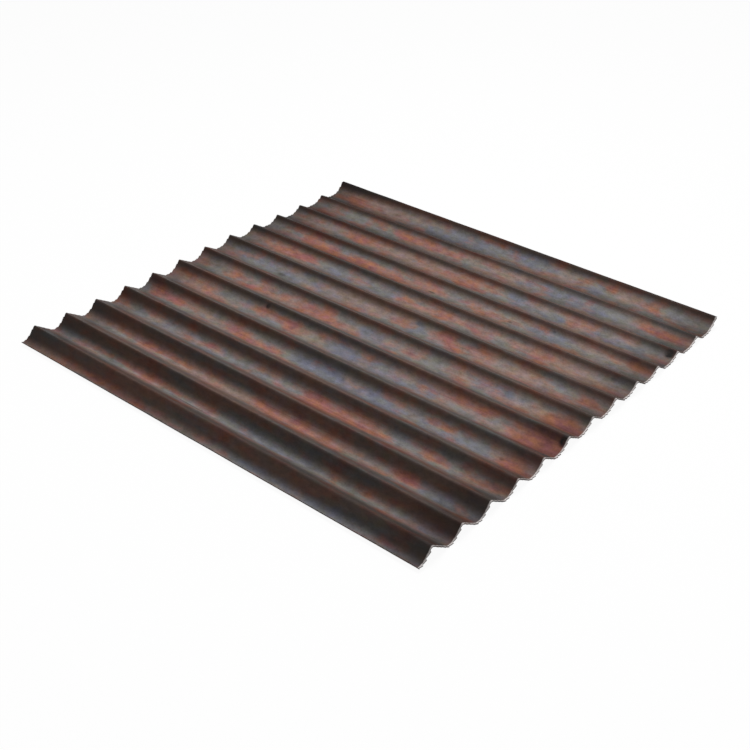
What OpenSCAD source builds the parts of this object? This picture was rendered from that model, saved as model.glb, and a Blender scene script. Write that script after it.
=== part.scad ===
// Weathered corrugated steel sheet, lying flat.
// Lengths are in millimetres. X runs along the corrugations, Y across them, and Z is up.
// The origin is under the middle of the sheet, on the floor that it lies on.

/* [Sheet] */
// Length along the corrugations
sheet_length = 1016; // [300:1:3600]
// Corrugations across the sheet, from a trough at the near edge to a crest at the far edge
wave_count = 12.5; // [2.5:1:20.5]
// Thickness of the steel
gauge = 2; // [0.5:0.1:3]

/* [Corrugation] */
// Distance from one crest to the next
pitch = 76.2; // [50:0.1:150]
// Height of the waves as rolled, from trough to crest, which they still have by the near edge
wave_depth = 25.4; // [15:0.1:35]
// Height that the waves by the far edge have lost, where the sheet was trodden flatter
trodden_depth = 13; // [0:0.5:14]
// Hollow of the front of a wave: 1 is straight, and more is hollower
front_hollow = 1.8; // [1:0.1:2.5]
// Where the front of a wave begins by the near edge, as a share of the pitch
near_front_share = 0.03; // [0:0.01:0.15]
// Where the front of a wave begins by the far edge, as a share of the pitch
far_front_share = 0.08; // [0:0.01:0.15]
// Where the crest stands in its wave by the near edge, as a share of the pitch
near_crest_share = 0.44; // [0.38:0.01:0.55]
// Where the crest stands in its wave by the far edge, as a share of the pitch
far_crest_share = 0.46; // [0.38:0.01:0.55]
// Where the straight back of a wave comes down by the near edge, as a share of the pitch
near_foot_share = 0.98; // [0.75:0.01:0.99]
// Where the straight back of a wave comes down by the far edge, as a share of the pitch
far_foot_share = 0.77; // [0.75:0.01:0.99]

/* [Warp] */
// Height that the sheet is bowed off the floor
bow_rise = 6.5; // [0:0.5:20]
// Width of the bowed part
bow_span = 545; // [200:5:900]
// Distance from the near edge to the top of the bow
bow_place = 565; // [100:5:900]
// Height that the near edge is bent up
near_lift = 7; // [0:0.5:20]
// Width of the bent strip along the near edge
near_lift_span = 140; // [40:5:300]
// Height that the far edge is bent up
far_lift = 12; // [0:0.5:20]
// Width of the bent strip along the far edge
far_lift_span = 40; // [30:5:300]

/* [Cut ends] */
// Width of one bite of the shears
bite_width = 9.5; // [5:0.5:20]
// Depth of the deepest bite
bite_depth = 3; // [0.5:0.5:6]

/* [Hidden] */

// Flat facets that one wave is drawn with
facets_per_wave = 36;
// How far the bend at a crest and in a trough reaches, as shares of the wave's depth
crest_bend_share = 0.32;
trough_bend_share = 0.15;
// Depth of the shallowest bite, as a share of the deepest
shallow_bite_share = 0.3;
// One seed for each end, so that the two are cut differently
left_seed = 7;
right_seed = 19;

sheet_width = wave_count * pitch;
facet_width = pitch / facets_per_wave;
bite_count = ceil(sheet_width / bite_width);
// Tall enough to pass through the whole sheet, with room above and below
cutter_height = 4 * (wave_depth + bow_rise + far_lift);
cutter_overrun = pitch;

// Value at a distance y from the near edge, between the ones that the two edges have
function blend(near, far, y) = near + (far - near) * y / sheet_width;

// The lower of two values, with the corner where they meet bent round
function bent_min(a, b, reach) = min(a, b) - reach / 6 * pow(max(0, 1 - abs(a - b) / reach), 3);

// Height of the wave at a distance y from the near edge, as a share of its depth:
// a flat strip to rest on, a hollow front up to the crest, and a straight back down to its foot
function wave(y) =
    let (
        place = y / pitch - floor(y / pitch),
        begin = blend(near_front_share, far_front_share, y),
        crest = blend(near_crest_share, far_crest_share, y),
        foot = blend(near_foot_share, far_foot_share, y),
        front = pow(max(0, place - begin) / (crest - begin), front_hollow),
        back = (foot - place) / (foot - crest),
        trough = place < crest ? (foot - 1 - place) / (foot - crest) : 0,
        ridge = bent_min(front, back, crest_bend_share)
    )
    -bent_min(-ridge, -trough, trough_bend_share) / (1 - crest_bend_share / 6);

function depth_at(y) = blend(wave_depth, wave_depth - trodden_depth, y);

function bow(y) =
    abs(y - bow_place) > bow_span / 2 ? 0 : bow_rise * (1 + cos(360 * (y - bow_place) / bow_span)) / 2;

function edge_lift(from_edge, height, span) = height * pow(max(0, 1 - from_edge / span), 2);

// Height of the middle of the steel
function level(y) =
    depth_at(y) * wave(y)
    + bow(y)
    + edge_lift(y, near_lift, near_lift_span)
    + edge_lift(sheet_width - y, far_lift, far_lift_span);

function slope(y) = atan((level(y + facet_width / 2) - level(y - facet_width / 2)) / facet_width);

// Point on the top of the steel where side is 1, and on its underside where side is -1
function skin(y, side) = [y, level(y)] + side * gauge / 2 * [-sin(slope(y)), cos(slope(y))];

// Places across the sheet where one facet ends and the next begins
stations = [for (i = [0 : wave_count * facets_per_wave]) i * facet_width];

// Outline of the cut across the sheet: one sloping bite after another
function bites(end_x, seed) =
    let (depths = rands(bite_depth * shallow_bite_share, bite_depth, bite_count, seed))
    [
        for (i = [0 : bite_count - 1], step = [0, 1])
        [end_x - sign(end_x) * depths[i] * (1 - step), (i + step) * bite_width]
    ];

function reversed(points) = [for (i = [len(points) - 1 : -1 : 0]) points[i]];

module rolled_section() {
    top = [for (y = stations) skin(y, 1)];
    underside = [for (y = stations) skin(y, -1)];
    lowest = min([for (point = underside) point.y]);
    translate([-sheet_width / 2, -lowest]) polygon(concat(top, reversed(underside)));
}

module cut_outline() {
    left = bites(-sheet_length / 2, left_seed);
    right = bites(sheet_length / 2, right_seed);
    near_y = -cutter_overrun;
    far_y = sheet_width + cutter_overrun;
    translate([0, -sheet_width / 2])
        polygon(concat(
            [[left[0].x, near_y]], left, [[left[len(left) - 1].x, far_y]],
            [[right[len(right) - 1].x, far_y]], reversed(right), [[right[0].x, near_y]]
        ));
}

module sheet() {
    color("rosybrown")
        intersection() {
            rotate([90, 0, 90]) linear_extrude(height = sheet_length, center = true) rolled_section();
            linear_extrude(height = cutter_height, center = true) cut_outline();
        }
}

sheet();
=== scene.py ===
import math

import bpy
from bpy.props import FloatProperty, FloatVectorProperty, IntProperty, PointerProperty
from mathutils import Euler, Matrix, Vector


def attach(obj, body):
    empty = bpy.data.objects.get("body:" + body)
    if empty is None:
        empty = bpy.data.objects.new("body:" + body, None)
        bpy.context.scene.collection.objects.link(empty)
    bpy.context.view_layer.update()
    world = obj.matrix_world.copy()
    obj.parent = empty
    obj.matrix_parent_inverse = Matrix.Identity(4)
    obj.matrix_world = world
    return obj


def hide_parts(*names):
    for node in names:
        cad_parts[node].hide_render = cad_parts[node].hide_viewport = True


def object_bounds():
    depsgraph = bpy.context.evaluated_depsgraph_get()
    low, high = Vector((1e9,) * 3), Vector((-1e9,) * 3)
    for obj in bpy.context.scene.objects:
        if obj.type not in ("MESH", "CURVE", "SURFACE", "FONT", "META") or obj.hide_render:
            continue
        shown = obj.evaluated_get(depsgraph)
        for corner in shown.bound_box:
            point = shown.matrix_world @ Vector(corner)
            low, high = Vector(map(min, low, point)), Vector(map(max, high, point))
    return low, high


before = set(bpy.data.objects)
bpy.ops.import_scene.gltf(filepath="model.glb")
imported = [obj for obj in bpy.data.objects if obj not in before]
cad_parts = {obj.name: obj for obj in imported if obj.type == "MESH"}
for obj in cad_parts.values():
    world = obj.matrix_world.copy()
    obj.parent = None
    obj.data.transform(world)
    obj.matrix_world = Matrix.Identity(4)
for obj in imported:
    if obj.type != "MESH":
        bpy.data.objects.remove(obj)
CAD_BOX = [list(corner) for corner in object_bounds()]

bl_info = {
    "name": "Weathered corrugated sheet",
    "version": (1, 0, 0),
    "blender": (4, 5, 0),
    "location": "View3D > Sidebar > Sheet",
    "description": "Rolls a rusted corrugated steel sheet and sets a plain studio round it",
    "category": "Add Mesh",
}

SHEET_NODE = "sheet"
SHADE_ATTRIBUTE = "painted_shade"
FRAME_LENGTH = CAD_BOX[1][0] - CAD_BOX[0][0]

# Where rust has broken through: place along and across the sheet, then reach along and across,
# all as shares of half its length and width, and how strong the rust is there
RUST_ZONE_SHARES = (
    (-0.86, 0.93, 0.17, 0.050, 0.9),
    (-0.45, 0.90, 0.05, 0.030, 0.8),
    (0.34, 0.89, 0.06, 0.050, 0.8),
    (0.54, 0.96, 0.04, 0.030, 1.0),
    (0.76, 0.97, 0.06, 0.020, 0.7),
    (0.91, 0.86, 0.11, 0.040, 0.9),
    (-0.90, 0.74, 0.10, 0.050, 0.4),
    (-0.34, 0.79, 0.36, 0.035, 0.7),
    (0.87, 0.79, 0.15, 0.035, 0.9),
    (-0.58, 0.62, 0.21, 0.040, 0.7),
    (0.04, 0.61, 0.20, 0.050, 0.9),
    (-0.74, 0.49, 0.27, 0.030, 0.9),
    (-0.42, 0.44, 0.58, 0.060, 1.3),
    (0.23, 0.46, 0.16, 0.040, 0.5),
    (0.84, 0.48, 0.18, 0.030, 0.4),
    (-0.72, 0.30, 0.23, 0.045, 1.1),
    (0.06, 0.31, 0.21, 0.050, 0.6),
    (0.60, 0.30, 0.28, 0.050, 0.2),
    (-0.17, 0.10, 0.06, 0.040, 0.8),
    (0.33, 0.14, 0.22, 0.050, 1.1),
    (0.92, 0.14, 0.09, 0.035, 1.0),
    (-0.66, -0.03, 0.20, 0.050, 1.0),
    (-0.46, -0.02, 0.05, 0.035, 0.7),
    (-0.28, -0.03, 0.17, 0.050, 1.0),
    (0.90, -0.04, 0.12, 0.060, 1.4),
    (-0.91, -0.15, 0.07, 0.020, 0.8),
    (-0.38, -0.17, 0.23, 0.040, 0.9),
    (0.57, -0.16, 0.26, 0.025, 0.9),
    (0.90, -0.19, 0.16, 0.080, 1.9),
    (-0.87, -0.34, 0.15, 0.045, 1.1),
    (-0.34, -0.35, 0.22, 0.045, 1.0),
    (0.58, -0.33, 0.09, 0.020, 0.5),
    (0.93, -0.36, 0.11, 0.060, 1.0),
    (-0.43, -0.50, 0.11, 0.025, 0.7),
    (0.18, -0.53, 0.32, 0.085, 0.9),
    (0.43, -0.51, 0.16, 0.045, 0.8),
    (0.68, -0.50, 0.09, 0.030, 0.8),
    (-0.54, -0.66, 0.48, 0.025, 0.7),
    (0.20, -0.68, 0.34, 0.085, 0.9),
    (0.69, -0.66, 0.10, 0.030, 0.9),
    (-0.44, -0.82, 0.58, 0.020, 0.7),
    (0.76, -0.86, 0.09, 0.040, 0.5),
    (-0.40, -0.98, 0.57, 0.025, 0.8),
    (0.86, -0.97, 0.11, 0.030, 1.3),
)

# Where the zinc has kept its blue cast, in the same shares
ZINC_ZONE_SHARES = (
    (-0.26, 0.93, 0.24, 0.045, 0.9),
    (0.12, 0.96, 0.17, 0.035, 0.8),
    (0.46, 0.93, 0.07, 0.035, 0.7),
    (0.31, 0.79, 0.10, 0.035, 0.9),
    (0.52, 0.78, 0.15, 0.040, 1.0),
    (0.30, 0.62, 0.10, 0.040, 0.9),
    (0.48, 0.61, 0.06, 0.040, 0.7),
    (0.75, 0.61, 0.15, 0.030, 0.7),
    (0.55, 0.46, 0.11, 0.040, 1.0),
    (-0.32, 0.28, 0.30, 0.060, 0.5),
    (0.12, 0.14, 0.05, 0.035, 0.9),
    (-0.62, 0.14, 0.48, 0.050, 0.5),
    (0.01, -0.02, 0.08, 0.040, 0.8),
    (0.60, -0.01, 0.13, 0.025, 0.8),
    (0.00, -0.18, 0.10, 0.045, 1.2),
    (0.21, -0.20, 0.16, 0.040, 0.7),
    (0.41, -0.18, 0.07, 0.035, 1.0),
    (-0.03, -0.34, 0.14, 0.035, 1.1),
    (0.26, -0.36, 0.22, 0.050, 1.0),
    (0.64, -0.36, 0.23, 0.050, 0.6),
    (-0.50, -0.52, 0.50, 0.050, 0.4),
    (0.88, -0.66, 0.14, 0.040, 0.8),
    (0.20, -0.83, 0.27, 0.030, 0.7),
    (0.90, -0.82, 0.11, 0.030, 0.8),
    (0.51, -0.98, 0.60, 0.025, 0.8),
)

# Dark stains and scratches, in the same shares
STAIN_ZONE_SHARES = (
    (0.972, 0.655, 0.026, 0.026, 1.6),
    (-0.61, 0.120, 0.034, 0.018, 0.7),
    (-0.03, 0.440, 0.025, 0.010, 0.6),
    (0.36, 0.455, 0.015, 0.009, 0.7),
    (0.55, 0.490, 0.012, 0.006, 0.6),
    (-0.44, -0.145, 0.016, 0.012, 1.0),
    (0.985, -0.145, 0.022, 0.024, 1.2),
    (0.86, -0.345, 0.012, 0.010, 0.7),
    (0.66, 0.090, 0.030, 0.010, 0.4),
    (0.91, 0.330, 0.016, 0.008, 0.6),
    (-0.18, -0.848, 0.150, 0.006, 0.6),
)

# Where all of the surface is darkened with the tint of the painted shade, in the same shares
DARKENED_ZONE_SHARES = (
    (-0.85, 0.80, 1.00, 0.60, 0.14),
    (0.80, -0.85, 0.90, 0.45, 0.20),
    (-0.40, -1.00, 0.70, 0.040, 0.50),
    (-0.90, 1.00, 0.45, 0.050, 0.40),
)

# How the painted shade lies on a wave, darkening the front below the crest and the back past it as shade
# would, in
# shares of the pitch: where it begins and is full on the front, and how far past the crest it begins to thin
# out and is gone, each by the near edge and by the far edge
NEAR_SHADE_SHARES = (-0.05, 0.27)
FAR_SHADE_SHARES = (0.26, 0.46)
NEAR_FADE_SHARES = (0.19, 0.58)
FAR_FADE_SHARES = (0.20, 0.80)
# Where across the sheet the painted shade on the fronts changes, as shares of the width, and how much it
# changes
# there: the first row is a wide change over the near half, and the second a smaller one by the far edge
SHADE_CHANGE_SHARES = ((0.02, 0.50, 0.78), (0.70, 1.00, 0.22))
# How far past the crest the painted shade of the front reaches, as a share of the pitch
SHADE_OVERLAP_SHARE = 0.05
# How strong the painted shade is: on a front by the left and by the right end, and on a back at the near
# edge, in most places, and in the far left corner
LEFT_FRONT_SHADE_SHARE = 1.0
RIGHT_FRONT_SHADE_SHARE = 0.90
FIRST_BACK_SHADE_SHARE = 0.90
BACK_SHADE_SHARE = 0.74
FAR_LEFT_BACK_SHADE_SHARE = 1.0
# Where the painted shade on the backs changes: past the first waves and toward the far edge, as shares of the
# width, and toward the left end, as shares of the length from the right end
FIRST_BACK_SHARES = (0.03, 0.12)
FAR_BACK_SHARES = (0.50, 0.75)
LEFT_BACK_SHARES = (0.30, 0.85)
# How the painted shade lies along the far edge: how far from it the shade begins to thin out and is gone, as
# shares of the pitch, and how strong it is by the left and by the right end
RIM_FADE_SHARES = (0.05, 0.26)
LEFT_RIM_SHADE_SHARE = 1.0
RIGHT_RIM_SHADE_SHARE = 0.96

# Depth of the shallowest bite of the shears, as a share of the deepest
SHALLOW_BITE_SHARE = 0.7
# A soft minimum takes its reach divided by this off the corner that it rounds
SOFT_CORNER_PARTS = 6.0
# Bends sharper than this keep a hard edge
SHARP_ANGLE = math.radians(50.0)

# Middle of a noise, which runs from 0 to 1
MIDDLE = 0.5
# Distances from the centre of an oval zone between which it fades, in its own reaches
ZONE_FADE_SHARES = (0.25, 1.0)
# How much wider than in their table the zones of blue zinc are drawn
ZINC_SPREAD = 1.4

# How much each noise counts toward a mark of the weather
PATCH_TO_BROWN = 0.8
BLOOM_TO_BLUE = 1.3
MOTTLE_TO_BLUE = 0.3
PATCH_TO_RUST = 2.2
BLOOM_TO_RUST = 1.0
RUN_LINES_TO_RUST = 0.3
TINT_TO_FRESH = 1.2
MOTTLE_TO_OLD = 0.4
# How much a zone counts: rust and blue zinc toward browning, blue zinc toward its own cast, rust toward rust,
# and blue zinc against rust; then how much more rust there is at the right end than at the left
ZONE_TO_BROWN = 0.12
ZONE_TO_BLUE = 0.45
ZONE_TO_RUST = 0.5
ZONE_AGAINST_RUST = 0.25
RUST_TO_RIGHT = 0.06
# Levels between which each mark of the weather comes in
BROWNED_LEVELS = (0.36, 0.62)
BLUED_LEVELS = (-0.05, 0.55)
STAINED_LEVELS = (-0.20, 0.40)
RUSTED_LEVELS = (-0.10, 0.80)
FRESH_LEVELS = (0.38, 0.66)
OLD_LEVELS = (0.52, 0.74)
FLECK_LEVELS = (0.62, 0.72)
FLECKED_PLACE_LEVELS = (0.48, 0.60)
# Levels of a noise between which the painted shade turns from its grey tint to its brown one
RUSTY_SHADE_LEVELS = (0.36, 0.58)
# Where fresh rust lies: how much it follows the slow drift, and what is added to it
FRESH_DRIFT = 0.6
FRESH_BASE = 0.22
# How much of what is under it each mark of the weather hides
BLUED_SHARE = 0.85
STAINED_SHARE = 0.5
RUSTED_SHARE = 0.88
FRESH_SHARE = 0.7
OLD_SHARE = 0.4
FLECKED_SHARE = 0.6
# A stain is torn by the mottling: how hard, and how much of it that takes away
STAIN_TEAR = 3.6
STAIN_LOSS = 1.0
# Light and dark that the mottling and the specks bring, and what is taken off so that the middle tone is 1
MOTTLE_TONE = 1.7
SPECK_TONE = 0.6
TONE_LOSS = 0.15
# Blue in the colour, where the tint is low, and how it falls where the tint is high
LOW_TINT_BLUE = 1.45
TINT_TO_BLUE = -0.9
# Height of the mottling, the specks and the rust in the bump
MOTTLE_HEIGHT = 0.4
SPECK_HEIGHT = 0.3
RUST_HEIGHT = 0.6

# How far the darkened strip and the bright strip of bare steel with a painted edge highlight along a cut end
# wander, in metres
END_DARKENING_WANDER = 0.04
BRIGHT_STRIP_WANDER = 0.003
# Distances from a cut end between which the bright strip fades, in its own widths
BRIGHT_STRIP_FADE_SHARES = (1.0, 1.5)
# How much the strip along a cut end is darkened; how bright the strip of bare steel with a painted edge
# highlight is, how much of that the painted shade takes away, and how bright the left one is beside the right
# one
END_DARKENING_SHARE = 0.5
BRIGHT_STRIP_SHARE = 0.95
SHADE_ON_BRIGHT_STRIP_SHARE = 0.4
LEFT_BRIGHT_STRIP_SHARE = 0.4

# Gloss of the faces and of the cut edges: roughness of zinc, how much rougher rust is, and the specular level
FACE_ROUGHNESS = 0.62
FACE_RUST_ROUGHNESS = 0.22
FACE_SPECULAR = 0.15
EDGE_ROUGHNESS = 0.6
EDGE_RUST_ROUGHNESS = 0.2
EDGE_SPECULAR = 0.2
# How metallic bare zinc still looks
ZINC_METAL_SHARE = 0.12
# Strength of the bump, and its depth on the faces and on the cut edges in metres
BUMP_STRENGTH = 0.6
FACE_BUMP = 0.0008
EDGE_BUMP = 0.0006
# How much more rust the cut edges have, and how much of the weathering their dark colour hides; that dark
# colour is rust with painted shade
EDGE_RUST_AMOUNT = 0.1
CUT_FACE_SHARE = 0.8

WHITE = (1.0, 1.0, 1.0)

# Numbers of the Mix node's sockets when it mixes colours: its factor, the two colours and the result
MIX_FACTOR_SOCKET = 0
MIX_FIRST_SOCKET = 6
MIX_SECOND_SOCKET = 7
MIX_RESULT_SOCKET = 2

FLOAT = "NodeSocketFloat"
VECTOR = "NodeSocketVector"
COLOUR = "NodeSocketColor"

# Inputs of the shape that take the value of the property of the same name
SHAPE_SIZES = (
    "Length", "Pitch", "Gauge", "Wave Depth", "Trodden Depth", "Front Hollow",
    "Near Front", "Far Front", "Near Crest", "Far Crest", "Near Foot", "Far Foot",
    "Crest Bend", "Trough Bend", "Bow Rise", "Bow Span", "Bow Place",
    "Near Lift", "Near Lift Span", "Far Lift", "Far Lift Span",
    "Bite Width", "Bite Depth", "Dent Depth", "Dent Reach",
)
# Inputs of the shape that are worked out from other sizes
DERIVED_SIZES = ("Width", "Shallow Bite")


def srgb(red, green, blue):
    """A colour as a screen shows it, from 0 to 255, as the linear one that Blender mixes"""

    def linear(value):
        value /= 255
        return value / 12.92 if value <= 0.04045 else ((value + 0.055) / 1.055) ** 2.4

    return tuple(linear(value) for value in (red, green, blue))


def length_prop(name, description, default):
    return FloatProperty(name=name, description=description, default=default, unit="LENGTH", precision=4)


def share_prop(name, description, default):
    return FloatProperty(
        name=name, description=description, default=default, subtype="FACTOR", min=0.0, max=1.0
    )


def angle_prop(name, description, degrees):
    return FloatProperty(name=name, description=description, default=math.radians(degrees), subtype="ANGLE")


def place_prop(name, description, place):
    return FloatVectorProperty(name=name, description=description, default=place, subtype="TRANSLATION")


def colour_prop(name, description, screen_colour):
    return FloatVectorProperty(
        name=name, description=description, default=srgb(*screen_colour), subtype="COLOR", min=0.0, max=1.0
    )


class SheetSizes(bpy.types.PropertyGroup):
    """Sizes of the rolled sheet"""

    length: length_prop("Length", "Length along the corrugations", FRAME_LENGTH)
    pitch: length_prop("Pitch", "Distance from one crest to the next", 0.0762)
    waves: FloatProperty(name="Waves", description="Corrugations across the sheet", default=12.5)
    gauge: length_prop("Gauge", "Thickness of the steel", 0.002)
    wave_depth: length_prop("Wave depth", "Height of the waves by the near edge", 0.0254)
    trodden_depth: length_prop("Trodden depth", "Height that the waves by the far edge have lost", 0.013)
    front_hollow: FloatProperty(
        name="Front hollow", description="1 is a wave with a straight front, more is hollower", default=1.8
    )
    near_front: share_prop("Near front", "Where the front of a wave begins by the near edge", 0.03)
    far_front: share_prop("Far front", "Where the front of a wave begins by the far edge", 0.08)
    near_crest: share_prop("Near crest", "Where the crest stands in its wave by the near edge", 0.44)
    far_crest: share_prop("Far crest", "Where the crest stands in its wave by the far edge", 0.46)
    near_foot: share_prop("Near foot", "Where the straight back of a wave comes down by the near edge", 0.98)
    far_foot: share_prop("Far foot", "Where the straight back of a wave comes down by the far edge", 0.77)
    crest_bend: share_prop("Crest bend", "Reach of the bend at a crest, in wave depths", 0.32)
    trough_bend: share_prop("Trough bend", "Reach of the bend in a trough, in wave depths", 0.15)
    bow_rise: length_prop("Bow rise", "Height that the sheet is bowed off the floor", 0.0065)
    bow_span: length_prop("Bow span", "Width of the bowed part", 0.545)
    bow_place: length_prop("Bow place", "Distance from the near edge to the top of the bow", 0.565)
    near_lift: length_prop("Near lift", "Height that the near edge is bent up", 0.007)
    near_lift_span: length_prop("Near lift span", "Width of the strip bent up along the near edge", 0.14)
    far_lift: length_prop("Far lift", "Height that the far edge is bent up", 0.012)
    far_lift_span: length_prop("Far lift span", "Width of the strip bent up along the far edge", 0.04)
    bite_width: length_prop("Bite width", "Width of one bite of the shears in the cut ends", 0.0095)
    bite_depth: length_prop("Bite depth", "Depth of the deepest bite", 0.003)
    # The bright strips along the cut ends are bare steel with a painted edge highlight
    worn_and_highlit_strip: length_prop("Worn strip", "Width of the bright strip along the right cut end", 0.004)
    left_worn_and_highlit_strip: length_prop("Left worn strip", "Width of the strip along the left cut end", 0.0025)
    # Width of the strip along the cut ends that is darkened with the tint of the painted shade
    end_darkening: length_prop("End grime", "Width of the dulled strip along the cut ends", 0.13)
    dent_depth: length_prop("Dent depth", "Depth of the soft dents all over the sheet", 0.0007)
    dent_reach: length_prop("Dent reach", "Distance from one soft dent to the next", 0.09)
    cells_along: IntProperty(name="Cells along", description="Mesh cells along the sheet", default=44)
    cells_per_wave: IntProperty(name="Cells per wave", description="Mesh cells across one wave", default=68)
    seed: IntProperty(name="Seed", description="Changes the bites and the dents", default=7)


class FinishColours(bpy.types.PropertyGroup):
    """Colours of the weathered zinc and its rust, and tints of the painted shade"""

    zinc_warm: colour_prop("Dull zinc", "Zinc that has dulled to a warm grey", (117, 115, 112))
    zinc_blue: colour_prop("Blue zinc", "Zinc that has kept its blue cast", (106, 108, 120))
    zinc_brown: colour_prop("Browned zinc", "Zinc that rust has begun to stain", (136, 115, 106))
    rust_red: colour_prop("Red rust", "Main colour of the rust", (150, 94, 88))
    rust_orange: colour_prop("Orange rust", "Fresh rust, here and there in a patch", (162, 110, 86))
    rust_dark: colour_prop("Dark rust", "Old rust along the run lines", (98, 62, 54))
    # Tints of the painted shade on the crests, the backs and the far edge: brown where a noise is high, grey
    # elsewhere
    brown_shade_tint: colour_prop("Brown grime", "Tint of the rusty grime that darkens the crests", (110, 83, 68))
    grey_shade_tint: colour_prop("Grey grime", "Tint of the sooty grime that darkens the crests", (88, 87, 87))
    stain: colour_prop("Stain", "Colour of the small dark stains", (24, 20, 18))
    # Colour of the bright strip along the cut ends: bare steel with a painted edge highlight
    worn_and_highlit_edge: colour_prop("Worn edge", "Bright steel that is worn along the cut ends", (210, 203, 201))
    # Dark colour of the cut faces: rusted steel, painted darker as shade
    cut_face: colour_prop("Cut face", "Rusted steel in the thickness of the sheet", (44, 36, 33))


class StageSettings(bpy.types.PropertyGroup):
    """Camera, lamps and floor"""

    camera_place: place_prop("Camera place", "Place of the camera", (1.3694, -1.5690, 1.2787))
    camera_turn: angle_prop("Camera turn", "Turn to the left of +Y", 40.977)
    camera_dip: angle_prop("Camera dip", "Angle below the horizon", 33.360)
    camera_roll: angle_prop("Camera roll", "Roll about the line of sight", -0.341)
    lens: FloatProperty(name="Lens", description="Focal length in millimetres", default=58.444)
    key_place: place_prop("Key place", "Place of the main lamp, over the sheet", (0.0, 0.4, 3.2))
    key_size: length_prop("Key size", "Side of the main lamp", 1.6)
    key_power: FloatProperty(name="Key power", description="Power of the main lamp in watts", default=84.0)
    ambient: FloatProperty(name="Ambient", description="Even light from all round", default=0.25)
    floor_size: length_prop("Floor size", "Side of the floor", 14.0)
    floor_glow: FloatProperty(
        name="Floor glow", description="Share of the floor's white that shadows don't reach", default=0.94
    )


class Term:
    """A number in a node tree, which sums, products and powers can be written with"""

    def __init__(self, nodes, socket):
        self.nodes = nodes
        self.socket = socket

    def math(self, operation, *others):
        node = self.nodes.add("ShaderNodeMath", operation=operation)
        for socket, value in zip(node.inputs, (self, *others)):
            self.nodes.put(socket, value)
        return Term(self.nodes, node.outputs[0])

    def __add__(self, other):
        return self.math("ADD", other)

    def __sub__(self, other):
        return self.math("SUBTRACT", other)

    def __mul__(self, other):
        return self.math("MULTIPLY", other)

    def __truediv__(self, other):
        return self.math("DIVIDE", other)

    def __pow__(self, other):
        return self.math("POWER", other)

    def less_from(self, whole):
        """The whole without this"""
        return (self * -1.0) + whole

    def at_least(self, low):
        return self.math("MAXIMUM", low)

    def at_most(self, high):
        return self.math("MINIMUM", high)

    def smooth(self, low, high):
        """0 below low, 1 above high, and a soft step between"""
        node = self.nodes.add("ShaderNodeMapRange", interpolation_type="SMOOTHSTEP")
        self.nodes.put(node.inputs["Value"], self)
        self.nodes.put(node.inputs["From Min"], low)
        self.nodes.put(node.inputs["From Max"], high)
        return Term(self.nodes, node.outputs[0])


class Nodes:
    """Adds nodes to one tree, and links or sets their sockets"""

    def __init__(self, tree):
        self.tree = tree

    def add(self, kind, inputs=None, **settings):
        node = self.tree.nodes.new(kind)
        for name, value in settings.items():
            setattr(node, name, value)
        for key, value in (inputs or {}).items():
            self.put(node.inputs[key], value)
        return node

    def put(self, socket, value):
        if isinstance(value, Term):
            value = value.socket
        if isinstance(value, bpy.types.NodeSocket):
            self.tree.links.new(value, socket)
        elif socket.type == "RGBA" and len(value) == 3:
            socket.default_value = (*value, 1.0)
        else:
            socket.default_value = value

    def term(self, socket):
        return Term(self, socket)

    def split(self, vector):
        node = self.add("ShaderNodeSeparateXYZ", {0: vector})
        return [Term(self, socket) for socket in node.outputs]

    def join(self, x, y, z):
        return self.add("ShaderNodeCombineXYZ", {0: x, 1: y, 2: z}).outputs[0]

    def vector(self, operation, first, second=None):
        inputs = {0: first} if second is None else {0: first, 1: second}
        node = self.add("ShaderNodeVectorMath", inputs, operation=operation)
        return node.outputs["Value" if operation == "LENGTH" else "Vector"]

    def mix(self, share, first, second, blend_type="MIX"):
        """The first colour with a share of the second in it"""
        node = self.add("ShaderNodeMix", data_type="RGBA", blend_type=blend_type)
        self.put(node.inputs[MIX_FACTOR_SOCKET], share)
        self.put(node.inputs[MIX_FIRST_SOCKET], first)
        self.put(node.inputs[MIX_SECOND_SOCKET], second)
        return node.outputs[MIX_RESULT_SOCKET]

    def group(self, tree, **inputs):
        """Places a node group; an input's name has its spaces as underscores"""
        kind = "GeometryNodeGroup" if tree.bl_idname == "GeometryNodeTree" else "ShaderNodeGroup"
        node = self.add(kind, node_tree=tree)
        for name, value in inputs.items():
            self.put(node.inputs[name.replace("_", " ")], value)
        return node


def new_group(name, kind, inputs, outputs):
    """A node group with named sockets: its nodes, its inputs by name and its output node"""
    tree = bpy.data.node_groups.new(name, kind)
    for socket_name, socket_type, *default in inputs:
        socket = tree.interface.new_socket(name=socket_name, in_out="INPUT", socket_type=socket_type)
        if default:
            socket.default_value = default[0]
    for socket_name, socket_type in outputs:
        tree.interface.new_socket(name=socket_name, in_out="OUTPUT", socket_type=socket_type)
    nodes = Nodes(tree)
    source = nodes.add("NodeGroupInput")
    given = {socket.name: socket for socket in source.outputs if socket.name}
    return nodes, given, nodes.add("NodeGroupOutput")


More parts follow.
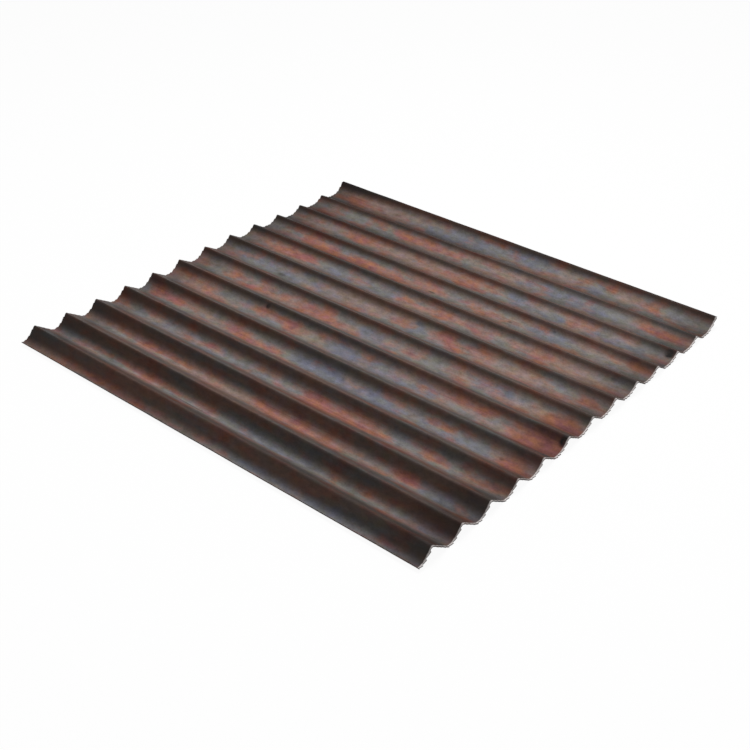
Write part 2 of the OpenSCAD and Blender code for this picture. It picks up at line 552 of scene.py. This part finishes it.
def sheet_shape_tree():
    """The rule of the sheet's shape: a flat grid, rolled into waves, warped and bitten at its ends"""
    numbers = SHAPE_SIZES + DERIVED_SIZES
    counts = ["Points Along", "Points Across", "Seed"]
    nodes, given, end = new_group(
        "corrugated_sheet_shape",
        "GeometryNodeTree",
        [(name, FLOAT) for name in numbers]
        + [(name, "NodeSocketInt") for name in counts]
        + [("Finish", "NodeSocketMaterial")],
        [("Sheet", "NodeSocketGeometry")],
    )
    size = {name: nodes.term(given[name]) for name in numbers}

    grid = nodes.add(
        "GeometryNodeMeshGrid",
        {"Size X": given["Length"], "Size Y": given["Width"],
         "Vertices X": given["Points Along"], "Vertices Y": given["Points Across"]},
    )
    position = nodes.add("GeometryNodeInputPosition").outputs[0]
    along, across, _ = nodes.split(position)
    from_near = across + size["Width"] * 0.5
    from_far = size["Width"] - from_near

    over = from_near / size["Width"]
    place = (from_near / size["Pitch"]).math("FRACT")

    def blend(what):
        return size["Near " + what] + (size["Far " + what] - size["Near " + what]) * over

    begin = blend("Front")
    crest = blend("Crest")
    foot = blend("Foot")
    up_front = (place - begin).at_least(0.0)
    front = (up_front / (crest - begin)) ** size["Front Hollow"]
    back = (foot - place) / (foot - crest)
    on_front = place.math("LESS_THAN", crest)
    last_back = (foot - place - 1.0) / (foot - crest)
    ridge = front.math("SMOOTH_MIN", back, size["Crest Bend"])
    bent = ridge.math("SMOOTH_MAX", last_back * on_front, size["Trough Bend"])
    wave = bent / (size["Crest Bend"] / SOFT_CORNER_PARTS).less_from(1.0)
    depth = size["Wave Depth"] - size["Trodden Depth"] * over
    in_bow = ((from_near - size["Bow Place"]) / size["Bow Span"]).at_least(-0.5).at_most(0.5)
    bow = size["Bow Rise"] * ((in_bow * math.tau).math("COSINE") + 1.0) * 0.5

    def lift(from_edge, height, span):
        return height * (from_edge / span).less_from(1.0).at_least(0.0) ** 2.0

    near_lift = lift(from_near, size["Near Lift"], size["Near Lift Span"])
    far_lift = lift(from_far, size["Far Lift"], size["Far Lift Span"])

    dent_place = nodes.vector("DIVIDE", position, nodes.join(*[size["Dent Reach"]] * 3))
    dent_noise = nodes.add(
        "ShaderNodeTexNoise",
        {"Vector": dent_place, "W": given["Seed"], "Scale": 1.0, "Detail": 2.0},
        noise_dimensions="4D",
    )
    dent = (nodes.term(dent_noise.outputs[0]) - MIDDLE) * 2.0 * size["Dent Depth"]
    above_floor = (depth * wave + bow + near_lift + far_lift + dent).at_least(0.0)
    height = above_floor + size["Gauge"] * 0.5

    bite = from_near / size["Bite Width"]
    bite_number = bite.math("FLOOR")
    side_seed = (along.math("SIGN") + 1.0) + nodes.term(given["Seed"])
    draw = {"Min": size["Shallow Bite"], "Max": size["Bite Depth"], "ID": bite_number, "Seed": side_seed}
    chance = nodes.add("FunctionNodeRandomValue", data_type="FLOAT")
    for socket in chance.inputs:
        if socket.enabled and socket.name in draw:
            nodes.put(socket, draw[socket.name])
    bite_depth = nodes.term(next(socket for socket in chance.outputs if socket.enabled))
    cut = bite_depth * (bite - bite_number).less_from(1.0)
    bitten = along * (cut / (size["Length"] * 0.5)).less_from(1.0)

    def between(share, near_values, far_values):
        return [share * (far - near) + near for near, far in zip(near_values, far_values)]

    # Painted shade, stored on the points for the material: darker on each front toward its crest, on the back
    # past it and along the far edge
    changes = [over.smooth(begins, ends) * change for begins, ends, change in SHADE_CHANGE_SHARES]
    shade_ramp = between(changes[0] + changes[1], NEAR_SHADE_SHARES, FAR_SHADE_SHARES)
    from_right = (along / size["Length"]).less_from(0.5)
    front_shade_strength, = between(from_right, [RIGHT_FRONT_SHADE_SHARE], [LEFT_FRONT_SHADE_SHARE])
    to_crest = (place - crest).smooth(0.0, SHADE_OVERLAP_SHARE).less_from(1.0)
    front_shade = place.smooth(*shade_ramp) * to_crest * front_shade_strength
    past_crest = (place - crest).math("FRACT")
    shade_fade = between(over ** 2.0, NEAR_FADE_SHARES, FAR_FADE_SHARES)
    far_left = over.smooth(*FAR_BACK_SHARES) * from_right.smooth(*LEFT_BACK_SHARES)
    back_shade_strength = (
        over.smooth(*FIRST_BACK_SHARES) * (BACK_SHADE_SHARE - FIRST_BACK_SHADE_SHARE)
        + far_left * (FAR_LEFT_BACK_SHADE_SHARE - BACK_SHADE_SHARE)
        + FIRST_BACK_SHADE_SHARE
    )
    back_shade = past_crest.smooth(*shade_fade).less_from(1.0) * back_shade_strength
    rim_shade_strength, = between(from_right, [RIGHT_RIM_SHADE_SHARE], [LEFT_RIM_SHADE_SHARE])
    rim_shade = (from_far / size["Pitch"]).smooth(*RIM_FADE_SHARES).less_from(1.0) * rim_shade_strength
    thickest_shade = front_shade.at_least(back_shade).at_least(rim_shade)
    stored_painted_shade = nodes.add(
        "GeometryNodeStoreNamedAttribute",
        {"Geometry": grid.outputs["Mesh"], "Name": SHADE_ATTRIBUTE, "Value": thickest_shade},
        data_type="FLOAT", domain="POINT",
    )

    rolled_place = nodes.join(bitten, across, height)
    rolled = nodes.add("GeometryNodeSetPosition", {"Geometry": stored_painted_shade.outputs[0], "Position": rolled_place})
    real = nodes.add("GeometryNodeRealizeInstances", {0: rolled.outputs[0]})
    finished = nodes.add(
        "GeometryNodeSetMaterial", {"Geometry": real.outputs[0], "Material": given["Finish"]}
    )
    nodes.put(end.inputs["Sheet"], finished.outputs[0])
    return nodes.tree


def set_inputs(modifier, values):
    """Sets a Geometry Nodes modifier's inputs by the identifiers of their sockets"""
    for item in modifier.node_group.interface.items_tree:
        if item.item_type == "SOCKET" and item.in_out == "INPUT" and item.name in values:
            modifier[item.identifier] = values[item.name]


def streaked_noise_group():
    """Noise drawn out along the corrugations, as weather runs along a sheet"""
    nodes, given, end = new_group(
        "streaked_noise",
        "ShaderNodeTree",
        [("Along", FLOAT, 0.1), ("Across", FLOAT, 0.03), ("Shift", FLOAT, 0.0),
         ("Detail", FLOAT, 4.0), ("Roughness", FLOAT, 0.55), ("Warp", FLOAT, 0.0)],
        [("Noise", FLOAT)],
    )
    place = nodes.add("ShaderNodeTexCoord").outputs["Object"]
    drawn = nodes.vector("DIVIDE", place, nodes.join(given["Along"], given["Across"], given["Across"]))
    noise = nodes.add(
        "ShaderNodeTexNoise",
        {"Vector": drawn, "W": given["Shift"], "Scale": 1.0, "Detail": given["Detail"],
         "Roughness": given["Roughness"], "Distortion": given["Warp"]},
        noise_dimensions="4D",
    )
    nodes.put(end.inputs["Noise"], noise.outputs[0])
    return nodes.tree


def zone_group():
    """Adds one soft oval to a sum of ovals"""
    nodes, given, end = new_group(
        "weather_zone",
        "ShaderNodeTree",
        [("Place", VECTOR), ("Centre", VECTOR), ("Reach", VECTOR, (1.0, 1.0, 1.0)),
         ("Strength", FLOAT, 1.0), ("Sum", FLOAT, 0.0)],
        [("Sum", FLOAT)],
    )
    away = nodes.vector("DIVIDE", nodes.vector("SUBTRACT", given["Place"], given["Centre"]), given["Reach"])
    inside = nodes.term(nodes.vector("LENGTH", away)).smooth(*ZONE_FADE_SHARES).less_from(1.0)
    total = inside * given["Strength"] + given["Sum"]
    nodes.put(end.inputs["Sum"], total)
    return nodes.tree


def sum_of_zones(nodes, zone, place, shares, sizes, spread=1.0):
    """Ovals at listed shares of the sheet's half length and half width, widened and added up"""
    half_length = sizes.length / 2
    half_width = sizes.pitch * sizes.waves / 2
    total = 0.0
    for along, across, reach_along, reach_across, strength in shares:
        oval = nodes.group(
            zone,
            Place=place,
            Centre=(along * half_length, across * half_width, 0.0),
            Reach=(reach_along * half_length * spread, reach_across * half_width * spread, half_width),
            Strength=strength,
            Sum=total,
        )
        total = oval.outputs["Sum"]
    return nodes.term(total)


def weathering_group(sizes, streaked, zone):
    """Dull zinc with a blue cast in places, browned and rusted through in others"""
    colours = ["Dull Zinc", "Blue Zinc", "Browned Zinc", "Red Rust", "Orange Rust", "Dark Rust", "Stain"]
    nodes, given, end = new_group(
        "weathering",
        "ShaderNodeTree",
        [(name, COLOUR) for name in colours] + [("Rust Amount", FLOAT, 0.0)],
        [("Color", COLOUR), ("Rust", FLOAT), ("Height", FLOAT)],
    )
    place = nodes.add("ShaderNodeTexCoord").outputs["Object"]

    def noise(along, across, shift, detail=4.0, roughness=0.55, warp=0.0):
        node = nodes.group(
            streaked, Along=along, Across=across, Shift=shift, Detail=detail, Roughness=roughness, Warp=warp
        )
        return nodes.term(node.outputs["Noise"])

    def swing(of_noise, weight):
        """A noise about its middle, weighted"""
        return (of_noise - MIDDLE) * weight

    drift = noise(along=0.240, across=0.070, shift=1.0, detail=3.0)
    patch = noise(along=0.060, across=0.028, shift=2.0, detail=4.0, roughness=0.50, warp=0.2)
    bloom = noise(along=0.032, across=0.018, shift=3.0, detail=3.0, roughness=0.48, warp=0.2)
    run_lines = noise(along=0.300, across=0.0045, shift=4.0, detail=3.0)
    mottle = noise(along=0.020, across=0.011, shift=5.0, detail=6.0, roughness=0.68)
    speck = noise(along=0.0035, across=0.0028, shift=6.0, detail=2.0)
    tint = noise(along=0.022, across=0.014, shift=7.0, detail=3.0)

    rust_zone = sum_of_zones(nodes, zone, place, RUST_ZONE_SHARES, sizes)
    zinc_zone = sum_of_zones(nodes, zone, place, ZINC_ZONE_SHARES, sizes, ZINC_SPREAD)
    stain_zone = sum_of_zones(nodes, zone, place, STAIN_ZONE_SHARES, sizes)

    to_brown = drift + swing(patch, PATCH_TO_BROWN) + (rust_zone - zinc_zone) * ZONE_TO_BROWN
    browned = to_brown.smooth(*BROWNED_LEVELS)
    to_blue = zinc_zone * ZONE_TO_BLUE + swing(bloom, BLOOM_TO_BLUE) + swing(mottle, MOTTLE_TO_BLUE)
    blued = to_blue.smooth(*BLUED_LEVELS)
    zinc = nodes.mix(browned, given["Dull Zinc"], given["Browned Zinc"])
    zinc = nodes.mix(blued * BLUED_SHARE, zinc, given["Blue Zinc"])

    uneven = swing(patch, PATCH_TO_RUST) + swing(bloom, BLOOM_TO_RUST) + swing(run_lines, RUN_LINES_TO_RUST)
    along, _, _ = nodes.split(place)
    to_right = along / sizes.length
    zoned = rust_zone * ZONE_TO_RUST - zinc_zone * ZONE_AGAINST_RUST
    rust = zoned + uneven + to_right * RUST_TO_RIGHT + given["Rust Amount"]
    stained = rust.smooth(*STAINED_LEVELS)
    rusted = rust.smooth(*RUSTED_LEVELS)
    to_fresh = drift * FRESH_DRIFT + swing(tint, TINT_TO_FRESH) + FRESH_BASE
    fresh = to_fresh.smooth(*FRESH_LEVELS) * rusted
    old = (run_lines + swing(mottle, MOTTLE_TO_OLD)).smooth(*OLD_LEVELS) * stained

    colour = nodes.mix(stained * STAINED_SHARE, zinc, given["Browned Zinc"])
    colour = nodes.mix(rusted * RUSTED_SHARE, colour, given["Red Rust"])
    colour = nodes.mix(fresh * FRESH_SHARE, colour, given["Orange Rust"])
    colour = nodes.mix(old * OLD_SHARE, colour, given["Dark Rust"])
    dirty = (stain_zone * (mottle * STAIN_TEAR - STAIN_LOSS)).at_least(0.0).at_most(1.0)
    flecked = speck.smooth(*FLECK_LEVELS) * mottle.smooth(*FLECKED_PLACE_LEVELS) * FLECKED_SHARE
    colour = nodes.mix(dirty.at_least(flecked), colour, given["Stain"])
    tone = mottle * MOTTLE_TONE + speck * SPECK_TONE - TONE_LOSS
    blue_tone = tone * (tint * TINT_TO_BLUE + LOW_TINT_BLUE)
    colour = nodes.vector("MULTIPLY", colour, nodes.join(tone, tone, blue_tone))

    nodes.put(end.inputs["Color"], colour)
    nodes.put(end.inputs["Rust"], rusted)
    height = mottle * MOTTLE_HEIGHT + speck * SPECK_HEIGHT + rusted * bloom * RUST_HEIGHT
    nodes.put(end.inputs["Height"], height)
    return nodes.tree


def new_material(name):
    material = bpy.data.materials.new(name)
    material.use_nodes = True
    nodes = Nodes(material.node_tree)
    shader = next(node for node in material.node_tree.nodes if node.type == "BSDF_PRINCIPLED")
    return material, nodes, shader


def place_weathering(nodes, weathering, colours, rust_amount):
    return nodes.group(
        weathering,
        Dull_Zinc=colours.zinc_warm,
        Blue_Zinc=colours.zinc_blue,
        Browned_Zinc=colours.zinc_brown,
        Red_Rust=colours.rust_red,
        Orange_Rust=colours.rust_orange,
        Dark_Rust=colours.rust_dark,
        Stain=colours.stain,
        Rust_Amount=rust_amount,
    )


def add_bump(nodes, shader, weather, depth):
    """Raises the mottling, the specks and the rust a little"""
    bump = nodes.add(
        "ShaderNodeBump",
        {"Strength": BUMP_STRENGTH, "Distance": depth, "Height": weather.outputs["Height"]},
    )
    nodes.put(shader.inputs["Normal"], bump.outputs[0])


def weathered_and_shaded_zinc(sizes, colours, weathering, streaked, zone):
    """Both faces, with painted shade along the crests and the far edge, darker toward the cut ends, and a
    bright strip of bare steel with a painted edge highlight along the cut ends
    """
    material, nodes, shader = new_material("weathered_and_shaded_zinc")
    weather = place_weathering(nodes, weathering, colours, 0.0)
    place = nodes.add("ShaderNodeTexCoord").outputs["Object"]
    along, _, _ = nodes.split(place)
    from_end = along.math("ABSOLUTE").less_from(sizes.length / 2)
    at_right = along.math("SIGN").smooth(-1.0, 1.0)
    ragged_noise = nodes.group(streaked, Along=0.006, Across=0.006, Shift=9.0, Detail=3.0)
    ragged = nodes.term(ragged_noise.outputs["Noise"])
    rusty_noise = nodes.group(streaked, Along=0.200, Across=0.040, Shift=8.0)
    rusty = nodes.term(rusty_noise.outputs["Noise"])

    # Painted shade: the stored mask multiplies the colour by a grey or brown tint, standing in for shade on
    # the fronts, backs and far edge
    stored_painted_shade = nodes.term(nodes.add("ShaderNodeAttribute", attribute_name=SHADE_ATTRIBUTE).outputs["Fac"])
    painted_shade = nodes.mix(rusty.smooth(*RUSTY_SHADE_LEVELS), colours.grey_shade_tint, colours.brown_shade_tint)
    colour = nodes.mix(stored_painted_shade, weather.outputs["Color"], painted_shade, "MULTIPLY")
    # Darker toward the cut ends and in broad zones, with the tint of the painted shade
    wandering_end = from_end + (ragged - MIDDLE) * END_DARKENING_WANDER
    darkened_end = wandering_end.smooth(0.0, sizes.end_darkening).less_from(1.0)
    darkened_zone = sum_of_zones(nodes, zone, place, DARKENED_ZONE_SHARES, sizes)
    colour = nodes.mix(darkened_end * END_DARKENING_SHARE + darkened_zone, colour, painted_shade, "MULTIPLY")

    # Bright strip along each cut end: bare steel with a painted edge highlight, narrower and fainter at the
    # left end and fainter under the painted shade
    bright_strip_width = at_right * (sizes.worn_and_highlit_strip - sizes.left_worn_and_highlit_strip) + sizes.left_worn_and_highlit_strip
    worn_and_highlit = ((from_end + ragged * BRIGHT_STRIP_WANDER) / bright_strip_width).smooth(*BRIGHT_STRIP_FADE_SHARES).less_from(1.0)
    bare_and_highlit = (stored_painted_shade * SHADE_ON_BRIGHT_STRIP_SHARE).less_from(BRIGHT_STRIP_SHARE)
    bare_and_highlit_at_end = bare_and_highlit * (at_right * (1.0 - LEFT_BRIGHT_STRIP_SHARE) + LEFT_BRIGHT_STRIP_SHARE)
    colour = nodes.mix(worn_and_highlit * bare_and_highlit_at_end, colour, colours.worn_and_highlit_edge)

    rust = nodes.term(weather.outputs["Rust"])
    nodes.put(shader.inputs["Base Color"], colour)
    nodes.put(shader.inputs["Roughness"], rust * FACE_RUST_ROUGHNESS + FACE_ROUGHNESS)
    nodes.put(shader.inputs["Metallic"], rust.less_from(1.0) * ZINC_METAL_SHARE)
    nodes.put(shader.inputs["Specular IOR Level"], FACE_SPECULAR)
    add_bump(nodes, shader, weather, FACE_BUMP)
    return material


def sheared_steel(colours, weathering):
    """The thickness of the sheet, along its cut ends and its long edges"""
    material, nodes, shader = new_material("sheared_steel")
    weather = place_weathering(nodes, weathering, colours, EDGE_RUST_AMOUNT)
    # Dark colour of the cut faces: rust, with painted shade
    colour = nodes.mix(CUT_FACE_SHARE, weather.outputs["Color"], colours.cut_face)
    rust = nodes.term(weather.outputs["Rust"])
    nodes.put(shader.inputs["Base Color"], colour)
    nodes.put(shader.inputs["Roughness"], rust * EDGE_RUST_ROUGHNESS + EDGE_ROUGHNESS)
    nodes.put(shader.inputs["Specular IOR Level"], EDGE_SPECULAR)
    add_bump(nodes, shader, weather, EDGE_BUMP)
    return material


class CORRUGATED_OT_roll_sheet(bpy.types.Operator):
    """Roll the corrugated sheet and give it its weathered finish"""

    bl_idname = "corrugated.roll_sheet"
    bl_label = "Roll sheet"

    def execute(self, context):
        sizes = context.scene.corrugated_sizes
        colours = context.scene.corrugated_colours
        streaked = streaked_noise_group()
        zone = zone_group()
        weathering = weathering_group(sizes, streaked, zone)
        faces = weathered_and_shaded_zinc(sizes, colours, weathering, streaked, zone)
        edges = sheared_steel(colours, weathering)

        pattern = bpy.data.objects.new("sheet_pattern", bpy.data.meshes.new("sheet_pattern"))
        # Set Material leaves the first slot empty, so the faces use the second, and Solidify's rim the third
        for material in (None, faces, edges):
            pattern.data.materials.append(material)
        context.scene.collection.objects.link(pattern)
        shape = pattern.modifiers.new("shape", "NODES")
        shape.node_group = sheet_shape_tree()
        inputs = {name: getattr(sizes, name.lower().replace(" ", "_")) for name in SHAPE_SIZES}
        inputs["Width"] = sizes.pitch * sizes.waves
        inputs["Shallow Bite"] = sizes.bite_depth * SHALLOW_BITE_SHARE
        inputs["Points Along"] = sizes.cells_along + 1
        inputs["Points Across"] = round(sizes.cells_per_wave * sizes.waves) + 1
        inputs["Seed"] = sizes.seed
        inputs["Finish"] = faces
        set_inputs(shape, inputs)
        wall = pattern.modifiers.new("gauge", "SOLIDIFY")
        wall.thickness = sizes.gauge
        wall.offset = 0.0
        wall.use_even_offset = True
        wall.material_offset_rim = 1

        evaluated = pattern.evaluated_get(context.evaluated_depsgraph_get())
        mesh = bpy.data.meshes.new_from_object(evaluated)
        bpy.data.objects.remove(pattern)
        if not mesh.polygons:
            raise RuntimeError("the sheet came out empty")
        mesh.name = "rolled_sheet"
        slots = [0] * len(mesh.polygons)
        mesh.polygons.foreach_get("material_index", slots)
        mesh.materials.clear()
        mesh.materials.append(faces)
        mesh.materials.append(edges)
        first_slot = min(slots)
        mesh.polygons.foreach_set("material_index", [slot - first_slot for slot in slots])
        mesh.shade_smooth()
        mesh.set_sharp_from_angle(angle=SHARP_ANGLE)

        sheet = bpy.data.objects.new("rolled_sheet", mesh)
        context.scene.collection.objects.link(sheet)
        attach(sheet, "root")
        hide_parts(SHEET_NODE)
        return {"FINISHED"}


def seen_directly(nodes):
    """1 for what the camera sees, also in a reflection or through glass, and 0 for other light"""
    path = nodes.add("ShaderNodeLightPath")
    seen = nodes.term(path.outputs["Is Camera Ray"])
    return seen.at_least(path.outputs["Is Glossy Ray"]).at_least(path.outputs["Is Transmission Ray"])


def studio_floor(stage):
    """White floor that keeps a faint shadow"""
    material = bpy.data.materials.new("studio_floor")
    material.use_nodes = True
    material.node_tree.nodes.clear()
    nodes = Nodes(material.node_tree)
    matt = nodes.add("ShaderNodeBsdfDiffuse", {"Color": WHITE})
    glow = nodes.add("ShaderNodeEmission", {"Color": WHITE, "Strength": 1.0})
    blend = nodes.add("ShaderNodeMixShader")
    nodes.put(blend.inputs[0], seen_directly(nodes) * stage.floor_glow)
    nodes.put(blend.inputs[1], matt.outputs[0])
    nodes.put(blend.inputs[2], glow.outputs[0])
    output = nodes.add("ShaderNodeOutputMaterial")
    nodes.put(output.inputs["Surface"], blend.outputs[0])
    return material


class CORRUGATED_OT_set_stage(bpy.types.Operator):
    """Set the floor, the lamps and the camera"""

    bl_idname = "corrugated.set_stage"
    bl_label = "Set stage"

    def execute(self, context):
        scene = context.scene
        stage = scene.corrugated_stage
        scene.view_settings.view_transform = "Standard"

        half = stage.floor_size / 2
        corners = [(-half, -half, 0.0), (half, -half, 0.0), (half, half, 0.0), (-half, half, 0.0)]
        mesh = bpy.data.meshes.new("floor")
        mesh.from_pydata(corners, [], [(0, 1, 2, 3)])
        mesh.materials.append(studio_floor(stage))
        floor = bpy.data.objects.new("floor", mesh)
        scene.collection.objects.link(floor)

        world = bpy.data.worlds.new("studio")
        world.use_nodes = True
        world.node_tree.nodes.clear()
        nodes = Nodes(world.node_tree)
        strength = seen_directly(nodes) * (1.0 - stage.ambient) + stage.ambient
        sky = nodes.add("ShaderNodeBackground", {"Color": WHITE, "Strength": strength})
        output = nodes.add("ShaderNodeOutputWorld")
        nodes.put(output.inputs["Surface"], sky.outputs[0])
        scene.world = world

        lamp = bpy.data.lights.new("key", "AREA")
        lamp.size = stage.key_size
        lamp.energy = stage.key_power
        key = bpy.data.objects.new("key", lamp)
        key.location = stage.key_place
        key.rotation_euler = (-Vector(stage.key_place)).to_track_quat("-Z", "Y").to_euler()
        scene.collection.objects.link(key)

        camera = bpy.data.objects.new("camera", bpy.data.cameras.new("camera"))
        camera.data.lens = stage.lens
        aim = Euler((math.pi / 2 - stage.camera_dip, 0.0, stage.camera_turn)).to_matrix()
        aim = aim @ Matrix.Rotation(stage.camera_roll, 3, "Z")
        camera.matrix_world = Matrix.Translation(stage.camera_place) @ aim.to_4x4()
        scene.collection.objects.link(camera)
        scene.camera = camera
        return {"FINISHED"}


class CORRUGATED_PT_sidebar(bpy.types.Panel):
    """Sizes, colours and stage of the corrugated sheet"""

    bl_idname = "CORRUGATED_PT_sidebar"
    bl_label = "Corrugated sheet"
    bl_space_type = "VIEW_3D"
    bl_region_type = "UI"
    bl_category = "Sheet"

    def draw(self, context):
        scene = context.scene
        for settings, operator in (
            (scene.corrugated_sizes, CORRUGATED_OT_roll_sheet),
            (scene.corrugated_colours, None),
            (scene.corrugated_stage, CORRUGATED_OT_set_stage),
        ):
            box = self.layout.box()
            for name in type(settings).__annotations__:
                box.prop(settings, name)
            if operator:
                box.operator(operator.bl_idname)


CLASSES = (
    SheetSizes,
    FinishColours,
    StageSettings,
    CORRUGATED_OT_roll_sheet,
    CORRUGATED_OT_set_stage,
    CORRUGATED_PT_sidebar,
)


def register():
    for cls in CLASSES:
        bpy.utils.register_class(cls)
    bpy.types.Scene.corrugated_sizes = PointerProperty(type=SheetSizes)
    bpy.types.Scene.corrugated_colours = PointerProperty(type=FinishColours)
    bpy.types.Scene.corrugated_stage = PointerProperty(type=StageSettings)


def unregister():
    del bpy.types.Scene.corrugated_stage
    del bpy.types.Scene.corrugated_colours
    del bpy.types.Scene.corrugated_sizes
    for cls in reversed(CLASSES):
        bpy.utils.unregister_class(cls)


def main():
    register()
    bpy.ops.corrugated.roll_sheet()
    bpy.ops.corrugated.set_stage()


if __name__ == "__main__":
    main()
